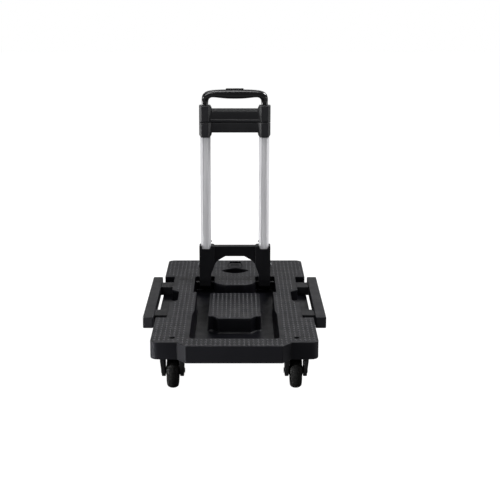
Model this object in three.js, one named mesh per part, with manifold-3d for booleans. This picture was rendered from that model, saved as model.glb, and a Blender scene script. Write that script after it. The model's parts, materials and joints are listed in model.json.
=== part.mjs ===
// Folding luggage cart: a moulded deck on four swivel casters, with pull-out side wings and a
// three-stage telescopic handle that folds forward into a channel in the deck.
// Units are millimetres. +X is the cart's right, +Y its rear, +Z up, and the floor is z = 0.
import * as THREE from 'three';
import { mergeVertices } from 'three/addons/utils/BufferGeometryUtils.js';
import Module from 'manifold-3d';

const wasm = await Module();
wasm.setup();

// ---------------------------------------------------------------- driving dimensions

const GAP = 0.3;
const PAST = 5;

const DECK = {
  top: 100.5,
  depth: 32,
  halfWidth: 150,
  rear: 308,
  lobeFront: -287,
  noseFront: -308,
  noseHalf: 85.6,
  noseRootHalf: 101.5,
  corner: 14,
  plate: 4,
  wall: 3.5,
  rib: 3,
};
DECK.bottom = DECK.top - DECK.depth;
DECK.cellTop = DECK.top - DECK.plate;

const CHANNEL = {
  halfRear: 77.7,
  halfFront: 81,
  halfFrontFloor: 74.8,
  front: -264,
  jogFront: -116,
  jogRear: -90,
  rampFront: -16,
  rampRear: 6,
  shallowFloor: DECK.top - 22.5,
  deepFloor: DECK.top - 29.5,
};

const BLOCK = { half: 50.3, noseHalf: 31, cheekHalf: 40.5, noseFront: -143, front: -127, rear: 34.3 };
BLOCK.skirt = 2.5;

const POCKET = { inner: 43.5, outer: 84.5, front: 42.6, rear: 166 };

const EYE_HOLE = { half: 30, middle: 215, reach: 22 };

const LEVER = {
  rearHalf: 12,
  frontHalf: 16,
  front: 244,
  rear: 277.5,
  slotRear: 294,
  travel: 10,
  baseHalf: 19,
  baseThick: 3.4,
  proud: 0.8,
};

const RAIL = { front: 241, thick: 3, lip: 4 };

// Rib lines that split the rear plate's underside, as X or Y pairs either side of a rib.
const PLATE_RIBS = { across: [43.5, 46.5], outer: [85, 88], middle: [237, 240], side: [210, 213] };

const CUTOUT = { inner: 129.5, front: -135.5, rear: 162, ledge: 78 };
CUTOUT.middle = (CUTOUT.front + CUTOUT.rear) / 2;

const NOTCH = { inner: 114.5, mouthHalf: 46.7, innerHalf: 31 };

const WING = {
  inner: 154.6,
  outer: 174.5,
  height: 22,
  endGap: 0.8,
  armWidth: 38,
  armInset: 29,
  armRoot: 113,
  armTop: DECK.top - 4.3,
};
WING.bottom = DECK.top - WING.height;

const TUNNEL = { inner: 88, sideGap: 0.4, floor: WING.bottom - 0.4 };

const PIVOT = { y: 154, z: DECK.top - 10, pinRadius: 3, pinInner: 36, pinOuter: 92 };

const BRACKET = {
  front: 138,
  rear: 163,
  barFront: 143.5,
  barRear: 161,
  outer: 75.4,
  legInner: 51,
  footOuter: 75,
  socketTop: DECK.top + 73.6,
  socketFloor: DECK.top + 18,
  barTop: DECK.top + 71.6,
  arch: [[20, 50], [38.7, 38.2], [46, 23.6], [50.7, 9.7]],
  archSteps: 16,
  rivetHeight: DECK.top + 30,
  rivetRadius: 3,
  rivetHead: 4.2,
  rivetInner: 46,
  lipDrop: 7,
  clipInner: 48.3,
  clipRise: 6.8,
};

// The deck's tongue nests inside the bracket's arch when the handle is folded down.
const TONGUE = { clear: 1.6, halfWidth: POCKET.inner };
TONGUE.corners = BRACKET.arch
  .filter(([x]) => x < TONGUE.halfWidth)
  .map(([x, rise]) => [x - 1, PIVOT.y - (DECK.top + rise - PIVOT.z) + TONGUE.clear, 9]);
TONGUE.front = TONGUE.corners[0][1];
TONGUE.shoulder = TONGUE.front + 24;

const TUBE_X = 61.2;
const TUBE_Y = 150.5;
const OUTER_TUBE = { width: 21, depth: 16, wall: 1.4, corner: 4.5 };
const MIDDLE_TUBE = { width: 17.4, depth: 12.4, wall: 1.4, corner: 3.6 };
const INNER_TUBE = { width: 14, depth: 9, wall: 1.2, corner: 2.8 };
OUTER_TUBE.bottom = BRACKET.socketFloor + GAP;
OUTER_TUBE.top = DECK.top + 331;
MIDDLE_TUBE.bottom = DECK.top + 39.3;
MIDDLE_TUBE.top = DECK.top + 364;
INNER_TUBE.bottom = DECK.top + 59.3;
INNER_TUBE.top = DECK.top + 370;

const COLLAR = {
  inner: 48,
  outer: 73.8,
  front: 138,
  rear: 163,
  innerChamfer: 7,
  outerChamfer: 5,
  bite: 4,
  topTaper: [3, 6.5],
  footTaper: [4, 5.6],
  panelInner: 55.2,
  panelOuter: 68.2,
  panelProud: 0.8,
  lowerBottom: DECK.top + 304.2,
  seam: DECK.top + 335.6,
  upperTop: DECK.top + 370.3,
  barFront: 142,
  barRear: 159,
  barLip: 0.8,
  lowerBarBottom: DECK.top + 314.2,
  upperBarTop: DECK.top + 363.4,
  bevel: 6,
};

const GRIP = {
  bottom: DECK.top + 370.7,
  top: DECK.top + 402.7,
  shoulder: DECK.top + 400.4,
  halfWidth: 68.7,
  legInner: 54.6,
  front: 140,
  rear: 161,
  spigotBottom: DECK.top + 346,
};

const BUTTON = { half: 18.5, depth: 8, top: DECK.top + 404.7, travel: 3 };
const YOKE = { half: 62, depth: 6, thick: 2.4, top: DECK.top + 395.6 };
const ROD = { x: 60.5, radius: 1.8, bore: 2.3, bottom: DECK.top + 76 };

const CASTER = {
  x: 111.6,
  frontY: -259.6,
  rearY: 256,
  trail: 20,
  wheelRadius: 32,
  tyreWidth: 21.4,
  rimRadius: 22,
  hubHalf: 12.5,
  hubRadius: 8.5,
  boreRadius: 3.35,
  axleRadius: 3,
  plateInner: 13.2,
  plateOuter: 21.5,
  plateTip: 20,
  headThick: 1,
  crownRadius: 21.5,
  crownBottom: 70,
  crownTop: 75.6,
  raceRadius: 18,
  raceTop: 81,
  bossRadius: 20,
  kingpinRadius: 3,
};

// ---------------------------------------------------------------- materials

const LOOKS = {
  deckPlastic: { color: 0x2c2c30, roughness: 0.62, metalness: 0 },
  handlePlastic: { color: 0x1f1f22, roughness: 0.45, metalness: 0 },
  gripPlastic: { color: 0x161618, roughness: 0.3, metalness: 0 },
  aluminium: { color: 0xc4c6ca, roughness: 0.32, metalness: 1 },
  steel: { color: 0x8a8c90, roughness: 0.35, metalness: 1 },
  casterPlastic: { color: 0x18181a, roughness: 0.5, metalness: 0 },
  tyreRubber: { color: 0x121213, roughness: 0.8, metalness: 0 },
};

// ---------------------------------------------------------------- shape helpers

// A closed three.js geometry as a Manifold solid, with shared vertices merged.
function solid(geometry) {
  const bare = geometry.clone();
  bare.deleteAttribute('normal');
  bare.deleteAttribute('uv');
  const merged = mergeVertices(bare, 1e-4);
  const corners = merged.index.array;
  const triangles = [];
  for (let i = 0; i < corners.length; i += 3) {
    const [a, b, c] = [corners[i], corners[i + 1], corners[i + 2]];
    if (a !== b && b !== c && c !== a) triangles.push(a, b, c);
  }
  return new wasm.Manifold(new wasm.Mesh({
    numProp: 3,
    vertProperties: new Float32Array(merged.attributes.position.array),
    triVerts: new Uint32Array(triangles),
  }));
}

// The solid back as a geometry for a THREE.Mesh.
function geometryOf(manifold) {
  const mesh = manifold.getMesh();
  const geometry = new THREE.BufferGeometry();
  geometry.setAttribute('position', new THREE.BufferAttribute(mesh.vertProperties, 3));
  geometry.setIndex(new THREE.BufferAttribute(mesh.triVerts, 1));
  geometry.computeVertexNormals();
  return geometry;
}

// A block from its low to its high corner along each axis.
function block(x0, x1, y0, y1, z0, z1) {
  const geometry = new THREE.BoxGeometry(x1 - x0, y1 - y0, z1 - z0);
  geometry.translate((x0 + x1) / 2, (y0 + y1) / 2, (z0 + z1) / 2);
  return solid(geometry);
}

// Outline points from corners given as [u, v, radius], each radius rounded in equal steps.
function rounded(corners, steps = 3) {
  const points = [];
  corners.forEach(([u, v, radius = 0], i) => {
    const corner = new THREE.Vector2(u, v);
    if (!radius) {
      points.push(corner);
      return;
    }
    const [bu, bv] = corners[(i + corners.length - 1) % corners.length];
    const [au, av] = corners[(i + 1) % corners.length];
    const before = new THREE.Vector2(bu, bv).sub(corner).normalize();
    const after = new THREE.Vector2(au, av).sub(corner).normalize();
    const half = Math.acos(THREE.MathUtils.clamp(before.dot(after), -1, 1)) / 2;
    const reach = radius / Math.tan(half);
    const centre = before.clone().add(after).normalize().multiplyScalar(radius / Math.sin(half));
    centre.add(corner);
    const start = before.clone().multiplyScalar(reach).add(corner).sub(centre);
    const end = after.clone().multiplyScalar(reach).add(corner).sub(centre);
    let sweep = end.angle() - start.angle();
    if (sweep > Math.PI) sweep -= 2 * Math.PI;
    if (sweep < -Math.PI) sweep += 2 * Math.PI;
    for (let k = 0; k <= steps; k += 1) {
      const spoke = start.clone().rotateAround(new THREE.Vector2(), (sweep * k) / steps);
      points.push(spoke.add(centre));
    }
  });
  return points;
}

// A full loop from its right-hand corners, mirrored in u = 0.
function symmetric(corners) {
  const mirrored = corners.map(([u, v, radius]) => [-u, v, radius]).reverse();
  return [...corners, ...mirrored];
}

function rectangle(u0, u1, v0, v1, radius = 0) {
  return [[u0, v0, radius], [u1, v0, radius], [u1, v1, radius], [u0, v1, radius]];
}

function extruded(points, depth) {
  return new THREE.ExtrudeGeometry(new THREE.Shape(points), { depth, bevelEnabled: false });
}

// A sloped skirt round an outline's foot, as wide as it is high, standing on a floor.
function skirted(points, floor, size) {
  const sunk = 1;
  const bevel = { depth: sunk, bevelThickness: size, bevelSize: size, bevelSegments: 1 };
  return solid(new THREE.ExtrudeGeometry(new THREE.Shape(points), bevel).translate(0, 0, floor - sunk));
}

const X_AXIS = new THREE.Vector3(1, 0, 0);
const Y_AXIS = new THREE.Vector3(0, 1, 0);
const Z_AXIS = new THREE.Vector3(0, 0, 1);

// An (x, y) outline raised from z0 to z1.
function alongZ(points, z0, z1) {
  return solid(extruded(points, z1 - z0).translate(0, 0, z0));
}

// A (y, z) outline run from x0 to x1.
function alongX(points, x0, x1) {
  const turn = new THREE.Matrix4().makeBasis(Y_AXIS, Z_AXIS, X_AXIS);
  return solid(extruded(points, x1 - x0).applyMatrix4(turn).translate(x0, 0, 0));
}

// An (x, z) outline run from y0 to y1.
function alongY(points, y0, y1) {
  const turn = new THREE.Matrix4().makeBasis(X_AXIS, Z_AXIS, Y_AXIS.clone().negate());
  return solid(extruded(points, y1 - y0).applyMatrix4(turn).translate(0, y1, 0));
}

// A round bar along X from x0 to x1.
function barX(radius, x0, x1, y, z, sides = 20) {
  const geometry = new THREE.CylinderGeometry(radius, radius, x1 - x0, sides);
  return solid(geometry.rotateZ(Math.PI / 2).translate((x0 + x1) / 2, y, z));
}

// A round bar along Z from z0 to z1.
function barZ(radius, x, y, z0, z1, sides = 24) {
  const geometry = new THREE.CylinderGeometry(radius, radius, z1 - z0, sides);
  return solid(geometry.rotateX(Math.PI / 2).translate(x, y, (z0 + z1) / 2));
}

// A profile of [radius, offset] points turned about X, with its middle at the origin.
function turnedX(profile, sides = 32) {
  const points = profile.map(([radius, offset]) => new THREE.Vector2(radius, offset));
  return solid(new THREE.LatheGeometry(points, sides).rotateZ(-Math.PI / 2));
}

function joined(solids) {
  return solids.reduce((whole, piece) => whole.add(piece));
}

function cutAll(body, cuts) {
  return cuts.reduce((whole, cut) => whole.subtract(cut), body);
}

// A solid mirrored to the other side of the cart when side is -1.
function sided(manifold, side) {
  if (side > 0) return manifold;
  const geometry = geometryOf(manifold).scale(-1, 1, 1);
  const corners = geometry.index.array;
  for (let i = 0; i < corners.length; i += 3) {
    [corners[i], corners[i + 1]] = [corners[i + 1], corners[i]];
  }
  return solid(geometry);
}

const SIDES = [['left', -1], ['right', 1]];

const cart = new THREE.Group();

function place(name, manifold, look, parent = cart) {
  const mesh = new THREE.Mesh(geometryOf(manifold), new THREE.MeshStandardMaterial(LOOKS[look]));
  mesh.name = name;
  parent.add(mesh);
  return mesh;
}

// ---------------------------------------------------------------- deck

// The recess for the folded handle: a trench, two pockets and a U-shaped channel round a block.
// Its floor runs down a ramp from the shallow rear part to the deep front part.
function handleRecess() {
  const outer = rounded(symmetric([
    [CHANNEL.halfFront, CHANNEL.front, 9],
    [CHANNEL.halfFront, CHANNEL.jogFront, 12],
    [CHANNEL.halfRear, CHANNEL.jogRear, 12],
    [CHANNEL.halfRear, POCKET.front],
    [POCKET.outer, POCKET.front, 2],
    [POCKET.outer, POCKET.rear, 5],
    [POCKET.inner, POCKET.rear, 5],
    [TONGUE.halfWidth, TONGUE.shoulder, 6],
    ...[...TONGUE.corners].reverse(),
  ]));
  const island = rounded(symmetric([
    [BLOCK.noseHalf, BLOCK.noseFront, 4],
    [BLOCK.cheekHalf, BLOCK.front - 1.5, 3],
    [BLOCK.half, BLOCK.front, 3],
    [BLOCK.half, BLOCK.rear, 5],
  ]));
  const high = DECK.top + PAST;
  const plan = (floor) => alongZ(outer, floor, high).subtract(alongZ(island, floor - 1, high + 1));
  const rearPart = block(-200, 200, CHANNEL.rampFront, 200, 0, 200);
  const shallow = plan(CHANNEL.shallowFloor).intersect(rearPart);
  const slope = (CHANNEL.halfFront - CHANNEL.halfFrontFloor) / (DECK.top - CHANNEL.deepFloor);
  const mouth = CHANNEL.halfFront + slope * PAST;
  const drafted = alongY([
    new THREE.Vector2(-mouth, high),
    new THREE.Vector2(-CHANNEL.halfFrontFloor, CHANNEL.deepFloor),
    new THREE.Vector2(CHANNEL.halfFrontFloor, CHANNEL.deepFloor),
    new THREE.Vector2(mouth, high),
  ], CHANNEL.front - 1, CHANNEL.rampRear);
  const ramped = alongX([
    new THREE.Vector2(CHANNEL.front - 1, CHANNEL.deepFloor),
    new THREE.Vector2(CHANNEL.rampFront, CHANNEL.deepFloor),
    new THREE.Vector2(CHANNEL.rampRear, CHANNEL.shallowFloor),
    new THREE.Vector2(CHANNEL.rampRear, high),
    new THREE.Vector2(CHANNEL.front - 1, high),
  ], -200, 200);
  const skirt = skirted(island, CHANNEL.deepFloor, BLOCK.skirt);
  const deep = plan(CHANNEL.deepFloor).intersect(drafted).intersect(ramped).subtract(skirt);
  const pocketPlan = rounded(rectangle(POCKET.inner, POCKET.outer, POCKET.front, POCKET.rear, 5));
  const pocket = alongZ(pocketPlan, CHANNEL.deepFloor, high);
  return joined([shallow, deep, pocket, sided(pocket, -1)]);
}

// The side cut-out that the wing's bar closes into, with a half-hexagon finger notch.
function wingCutout() {
  const outline = rounded([
    [CUTOUT.inner, CUTOUT.front, 2],
    [DECK.halfWidth + PAST, CUTOUT.front],
    [DECK.halfWidth + PAST, CUTOUT.rear],
    [CUTOUT.inner, CUTOUT.rear, 2],
    [CUTOUT.inner, CUTOUT.middle + NOTCH.mouthHalf, 3],
    [NOTCH.inner, CUTOUT.middle + NOTCH.innerHalf, 3],
    [NOTCH.inner, CUTOUT.middle - NOTCH.innerHalf, 3],
    [CUTOUT.inner, CUTOUT.middle - NOTCH.mouthHalf, 3],
  ], 2);
  return alongZ(outline, CUTOUT.ledge, DECK.top + PAST);
}

// The front and rear stretches of Y that a wing's two arms take up.
const ARM_SPANS = [
  [CUTOUT.front + WING.armInset, CUTOUT.front + WING.armInset + WING.armWidth],
  [CUTOUT.rear - WING.armInset - WING.armWidth, CUTOUT.rear - WING.armInset],
];

function armTunnels() {
  return ARM_SPANS.map(([y0, y1]) => block(
    TUNNEL.inner,
    CUTOUT.inner + 1,
    y0 - TUNNEL.sideGap,
    y1 + TUNNEL.sideGap,
    TUNNEL.floor,
    DECK.cellTop,
  ));
}

// Hollows in the underside as [x0, x1, y0, y1, top], with ribs left between them.
function undersideCells() {
  const { wall, rib, cellTop } = DECK;
  const shelf = CUTOUT.ledge - rib;
  const trough = CHANNEL.shallowFloor - rib;
  const side = DECK.halfWidth - wall;
  const [frontArm, rearArm] = ARM_SPANS;
  const plate = PLATE_RIBS;
  const edge = plate.outer[1];
  const right = [
    [edge, side, POCKET.rear + wall, plate.side[0], cellTop],
    [edge, side, plate.side[1], DECK.rear - wall, cellTop],
    [plate.across[1], plate.outer[0], POCKET.rear + wall, plate.middle[0], cellTop],
    [plate.across[1], plate.outer[0], plate.middle[1], DECK.rear - wall, cellTop],
    [edge, side, rearArm[0] - 8, CUTOUT.rear - wall, shelf],
    [edge, side, frontArm[1] + 8, rearArm[0] - 11, shelf],
    [edge, side, CUTOUT.front + wall, frontArm[1] + 5, shelf],
    [edge, NOTCH.inner - wall, frontArm[1] + 4, rearArm[0] - 4, cellTop],
    [edge + 8, CUTOUT.inner - wall, rearArm[1] + 4, CUTOUT.rear - wall, cellTop],
    [edge, CUTOUT.inner - wall, CUTOUT.front + wall, frontArm[0] - 4, cellTop],
    [edge, side, CUTOUT.front - 62, CUTOUT.front - wall, cellTop],
    [edge, side, DECK.lobeFront + wall, CUTOUT.front - 65, cellTop],
    [31, 84.5, DECK.noseFront + wall, CHANNEL.front - wall, cellTop],
    [BLOCK.half + wall, CHANNEL.halfRear - wall, CHANNEL.rampRear + 1, POCKET.front - wall, trough],
    [1.5, BLOCK.half - wall, BLOCK.front + wall, -48, cellTop],
    [1.5, BLOCK.half - wall, -45, BLOCK.rear - wall, cellTop],
  ];
  const middle = [
    [-28, 28, DECK.noseFront + wall, CHANNEL.front - wall, cellTop],
    [-40, 40, BLOCK.rear + rib, TONGUE.front - rib, trough],
    [-plate.across[0], plate.across[0], POCKET.rear + 1, plate.middle[0], cellTop],
    [-plate.across[0], plate.across[0], plate.middle[1], DECK.rear - wall, cellTop],
  ];
  const low = DECK.bottom - PAST;
  const cell = ([x0, x1, y0, y1, top]) => block(x0, x1, y0, y1, low, top);
  const tongue = alongZ(rounded(symmetric([
    [TONGUE.corners[0][0] - 2, TONGUE.front + wall],
    [TONGUE.corners[1][0] - 3, TONGUE.corners[1][1] + wall],
    [TONGUE.halfWidth - wall, TONGUE.shoulder + wall],
    [TONGUE.halfWidth - wall, POCKET.rear - 2],
  ])), low, cellTop);
  const inside = alongZ(rounded(symmetric([
    [DECK.noseHalf - rib, DECK.noseFront + wall],
    [DECK.noseRootHalf - rib, DECK.lobeFront + wall],
    [side, DECK.lobeFront + wall, DECK.corner - wall],
    [side, DECK.rear - wall, DECK.corner - wall],
  ])), low, cellTop);
  const cells = [...right.flatMap((c) => [cell(c), sided(cell(c), -1)]), ...middle.map(cell), tongue];
  return joined(cells).intersect(inside);
}

// The eye-shaped finger hole in the rear plate, two shallow curves that meet in points.
function eyeHole() {
  const points = [];
  const steps = 10;
  for (let i = 0; i < steps; i += 1) {
    const t = -1 + (2 * i) / steps;
    points.push(new THREE.Vector2(t * EYE_HOLE.half, EYE_HOLE.middle - EYE_HOLE.reach * (1 - t * t)));
  }
  for (let i = 0; i < steps; i += 1) {
    const t = 1 - (2 * i) / steps;
    points.push(new THREE.Vector2(t * EYE_HOLE.half, EYE_HOLE.middle + EYE_HOLE.reach * (1 - t * t)));
  }
  return alongZ(points, DECK.bottom - PAST, DECK.top + PAST);
}

// The release lever's opening: its own trapezoid, with a free slot behind it to slide into.
function leverOpening() {
  return alongZ(rounded(symmetric([
    [LEVER.frontHalf + GAP, LEVER.front - GAP, 1],
    [LEVER.frontHalf + GAP, LEVER.front + LEVER.travel],
    [LEVER.rearHalf + 2 * GAP, LEVER.rear + LEVER.travel],
    [LEVER.rearHalf + GAP, LEVER.slotRear, 2],
  ])), DECK.cellTop - 1, DECK.top + PAST);
}

// Two rails under the rear plate that carry the lever's base.
function leverRails() {
  const { front, thick, lip } = RAIL;
  const lipTop = DECK.cellTop - LEVER.baseThick - 2 * GAP;
  const inner = LEVER.baseHalf + GAP;
  const rail = joined([
    block(inner, inner + thick, front, DECK.rear - 1, lipTop - thick, DECK.cellTop + 1),
    block(inner - lip, inner + thick, front, DECK.rear - 1, lipTop - thick, lipTop),
  ]);
  return [rail, sided(rail, -1)];
}

function casterBosses() {
  const bosses = [];
  for (const y of [CASTER.frontY, CASTER.rearY]) {
    for (const side of [-1, 1]) {
      bosses.push(barZ(CASTER.bossRadius, side * CASTER.x, y, CASTER.raceTop + GAP, DECK.cellTop + 1, 32));
    }
  }
  return bosses;
}

// Front kingpins show in holes through the plate; rear ones stop inside their bosses.
function kingpinHoles() {
  const holes = [];
  for (const side of [-1, 1]) {
    const x = side * CASTER.x;
    const radius = CASTER.kingpinRadius + GAP;
    holes.push(barZ(radius, x, CASTER.frontY, CASTER.raceTop - 1, DECK.top + PAST, 20));
    holes.push(barZ(radius + 1.5, x, CASTER.frontY, DECK.top - 6, DECK.top + PAST, 20));
    holes.push(barZ(radius, x, CASTER.rearY, CASTER.raceTop - 1, DECK.top - 6, 20));
  }
  return holes;
}

function pivotBosses() {
  const [y0, y1] = [PIVOT.y - 7, PIVOT.y + 7];
  const [z0, z1] = [PIVOT.z - 8, DECK.cellTop + 1];
  const inner = block(PIVOT.pinInner - 2, POCKET.inner, y0, y1, z0, z1);
  const outer = block(POCKET.outer, PIVOT.pinOuter + 2, y0, y1, z0, z1);
  return [inner, outer, sided(inner, -1), sided(outer, -1)];
}

function deckShell() {
  const outline = rounded(symmetric([
    [DECK.noseHalf, DECK.noseFront, 3],
    [DECK.noseRootHalf, DECK.lobeFront, 2],
    [DECK.halfWidth, DECK.lobeFront, DECK.corner],
    [DECK.halfWidth, DECK.rear, DECK.corner],
  ]), 5);
  const hollowed = cutAll(alongZ(outline, DECK.bottom, DECK.top), [handleRecess(), undersideCells()]);
  const fitted = joined([hollowed, ...casterBosses(), ...leverRails(), ...pivotBosses()]);
  const cutout = wingCutout();
  const tunnels = armTunnels();
  const pinHole = barX(PIVOT.pinRadius + GAP, PIVOT.pinInner - GAP, PIVOT.pinOuter + GAP, PIVOT.y, PIVOT.z);
  return cutAll(fitted, [
    cutout,
    sided(cutout, -1),
    ...tunnels.flatMap((tunnel) => [tunnel, sided(tunnel, -1)]),
    pinHole,
    sided(pinHole, -1),
    eyeHole(),
    leverOpening(),
    ...kingpinHoles(),
  ]);
}

function releaseLever() {
  const top = alongZ(rounded(symmetric([
    [LEVER.frontHalf, LEVER.front, 1],
    [LEVER.rearHalf, LEVER.rear, 1],
  ])), DECK.cellTop - 1, DECK.top + LEVER.proud);
  const baseTop = DECK.cellTop - GAP;
  const base = block(
    -LEVER.baseHalf,
    LEVER.baseHalf,
    LEVER.front - 1,
    LEVER.rear + 3,
    baseTop - LEVER.baseThick,
    baseTop,
  );
  const grooves = [];
  for (let y = LEVER.front + 6; y < LEVER.rear - 4; y += 5) {
    grooves.push(block(-10, 10, y, y + 2, DECK.top, DECK.top + PAST));
  }
  return cutAll(top.add(base), grooves);
}

place('deck_shell', deckShell(), 'deckPlastic');
place('fold_release_lever', releaseLever(), 'deckPlastic');

for (const [name, side] of SIDES) {
  const pin = barX(PIVOT.pinRadius, PIVOT.pinInner, PIVOT.pinOuter, PIVOT.y, PIVOT.z);
  place(`pivot_pin_${name}`, sided(pin, side), 'steel');
}

// ---------------------------------------------------------------- side wings

function wing() {
  const [front, rear] = [CUTOUT.front + WING.endGap, CUTOUT.rear - WING.endGap];
  const bar = alongZ(
    rounded(rectangle(WING.inner, WING.outer, front, rear, 2.5), 2),
    WING.bottom,
    DECK.top,
  );
  const arms = ARM_SPANS.map(([y0, y1]) => joined([
    block(WING.armRoot, WING.inner + 1, y0, y1, WING.armTop - 4, WING.armTop),
    block(WING.armRoot, WING.inner + 1, y0, y0 + 4, WING.bottom, WING.armTop),
    block(WING.armRoot, WING.inner + 1, y1 - 4, y1, WING.bottom, WING.armTop),
    block(WING.armRoot, WING.armRoot + 4, y0, y1, WING.bottom, WING.armTop),
  ]));
  return joined([bar, ...arms]);
}

for (const [name, side] of SIDES) {
  place(`wing_${name}`, sided(wing(), side), 'deckPlastic');
}

// ---------------------------------------------------------------- handle: bracket and stages

function tubeSection({ width, depth, corner }, grow = 0) {
  return rounded(rectangle(
    TUBE_X - width / 2 - grow,
    TUBE_X + width / 2 + grow,
    TUBE_Y - depth / 2 - grow,
    TUBE_Y + depth / 2 + grow,
    corner + grow,
  ), 2);
}

function tube(size) {
  const skin = alongZ(tubeSection(size), size.bottom, size.top);
  return skin.subtract(alongZ(tubeSection(size, -size.wall), size.bottom - 1, size.top + 1));
}

// The folding bracket: two legs that hold the outer tubes, under an arched crossbar.
function bracket() {
  const arch = new THREE.SplineCurve([...BRACKET.arch, [BRACKET.legInner, 0]].map(
    ([x, rise]) => new THREE.Vector2(x, DECK.top + rise),
  )).getPoints(BRACKET.archSteps);
  const front = [
    ...arch,
    new THREE.Vector2(BRACKET.legInner, PIVOT.z - 12),
    new THREE.Vector2(BRACKET.footOuter, PIVOT.z - 12),
    new THREE.Vector2(BRACKET.footOuter, DECK.top + 4),
    new THREE.Vector2(BRACKET.outer, DECK.top + 8),
    new THREE.Vector2(BRACKET.outer, BRACKET.socketTop),
    new THREE.Vector2(46, BRACKET.socketTop),
    new THREE.Vector2(44, BRACKET.barTop),
  ];
  const mirrored = front.map((p) => new THREE.Vector2(-p.x, p.y)).reverse();
  const face = [...front, ...mirrored];
  const side = rounded([
    [BRACKET.rear, BRACKET.socketTop, 2],
    [BRACKET.front, BRACKET.socketTop, 2],
    [BRACKET.front, PIVOT.z - 4, 3],
    [PIVOT.y - 7, PIVOT.z - 10, 3],
    [BRACKET.rear, PIVOT.z - 10, 9],
  ], 5);
  const legs = alongX(side, -BRACKET.outer - 1, BRACKET.outer + 1);
  const waist = block(-45, 45, BRACKET.barFront, BRACKET.barRear, 0, 400);
  const flanks = joined([block(44, 90, 100, 200, 0, 400), block(-90, -44, 100, 200, 0, 400)]);
  const whole = alongY(face, BRACKET.front, BRACKET.rear).intersect(legs).intersect(waist.add(flanks));
  const socket = alongZ(tubeSection(OUTER_TUBE, GAP), BRACKET.socketFloor, BRACKET.socketTop + PAST);
  const pivotHole = barX(PIVOT.pinRadius + GAP, 40, 90, PIVOT.y, PIVOT.z);
  const rivetHole = barX(BRACKET.rivetRadius + GAP, 40, 90, TUBE_Y, BRACKET.rivetHeight);
  const cuts = [socket, pivotHole, rivetHole, socketLip()];
  const clip = socketClip();
  const clipped = joined([whole, clip, sided(clip, -1)]);
  return cutAll(clipped, cuts.flatMap((cut) => [cut, sided(cut, -1)]));
}

// The notch that lowers a socket's front lip between two ears.
function socketLip() {
  const half = OUTER_TUBE.width / 2;
  const floor = BRACKET.socketTop - BRACKET.lipDrop;
  return alongY([
    new THREE.Vector2(TUBE_X - half + 2.4, floor),
    new THREE.Vector2(TUBE_X + half - 2.4, floor),
    new THREE.Vector2(TUBE_X + half + 0.2, BRACKET.socketTop + 1),
    new THREE.Vector2(TUBE_X - half - 0.2, BRACKET.socketTop + 1),
  ], BRACKET.front - 1, TUBE_Y);
}

// The hooked clip that stands up behind a tube from its socket's rear wall.
function socketClip() {
  const { clipInner, clipRise, socketTop, rear } = BRACKET;
  const neck = clipInner + 4.5;
  const outer = TUBE_X + OUTER_TUBE.width / 2 - 1.5;
  return alongY([
    new THREE.Vector2(neck, socketTop - 1),
    new THREE.Vector2(outer, socketTop - 1),
    new THREE.Vector2(outer, socketTop + clipRise),
    new THREE.Vector2(clipInner + 1.2, socketTop + clipRise),
    new THREE.Vector2(clipInner, socketTop + clipRise - 1.6),
    new THREE.Vector2(neck, socketTop + clipRise - 3.4),
  ], TUBE_Y + OUTER_TUBE.depth / 2 + GAP, rear);
}

// A cross rivet through a bracket leg and the foot of its outer tube, with a head outside.
function tubeRivet() {
  const [z, y] = [BRACKET.rivetHeight, TUBE_Y];
  const outer = BRACKET.outer + GAP;
  return joined([
    barX(BRACKET.rivetRadius, BRACKET.rivetInner, outer + 1, y, z, 12),
    barX(BRACKET.rivetHead, outer, outer + 2, y, z, 16),
  ]);
}

function outerTube() {
  const hole = barX(BRACKET.rivetRadius + GAP, 40, 90, TUBE_Y, BRACKET.rivetHeight);
  return tube(OUTER_TUBE).subtract(hole);
}

// A collar's chamfered plan, from which both stage mouldings are raised.
function collarPlan() {
  const { inner, outer, front, rear, innerChamfer, outerChamfer, bite } = COLLAR;
  return [
    [inner + innerChamfer, front], [outer - outerChamfer, front],
    [outer, front + bite], [outer, rear - bite],
    [outer - outerChamfer, rear], [inner + innerChamfer, rear],
    [inner, rear - bite], [inner, front + bite],
  ].map(([x, y]) => new THREE.Vector2(x, y));
}

// A stage moulding: a collar round each tube with a raised front panel, joined by a crossbar.
function stageMoulding(face, barOutline, holes) {
  const heights = face.map((point) => point.y);
  const [bottom, top] = [Math.min(...heights), Math.max(...heights)];
  const collar = alongZ(collarPlan(), bottom, top).intersect(alongY(face, 100, 200));
  const panel = block(
    COLLAR.panelInner,
    COLLAR.panelOuter,
    COLLAR.front - COLLAR.panelProud,
    COLLAR.front + 1,
    bottom + 1.6,
    top - 1.6,
  );
  const side = collar.add(panel);
  const bar = alongX(barOutline, -COLLAR.inner - 2, COLLAR.inner + 2);
  const whole = joined([bar, side, sided(side, -1)]);
  return cutAll(whole, holes.flatMap((hole) => [hole, sided(hole, -1)]));
}

function lowerCollar() {
  const top = COLLAR.seam - GAP / 2;
  const bar = rounded(rectangle(COLLAR.barFront, COLLAR.barRear, COLLAR.lowerBarBottom, top, 1.5), 2);
  const { inner, outer, lowerBottom, footTaper: [run, rise] } = COLLAR;
  const face = [
    [inner + run, lowerBottom], [outer - run, lowerBottom], [outer, lowerBottom + rise],
    [outer, top], [inner, top], [inner, lowerBottom + rise],
  ].map(([x, z]) => new THREE.Vector2(x, z));
  return stageMoulding(face, bar, [
    alongZ(tubeSection(OUTER_TUBE, GAP), lowerBottom - 1, OUTER_TUBE.top + GAP),
    alongZ(tubeSection(MIDDLE_TUBE, GAP), lowerBottom, top + 1),
  ]);
}

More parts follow.
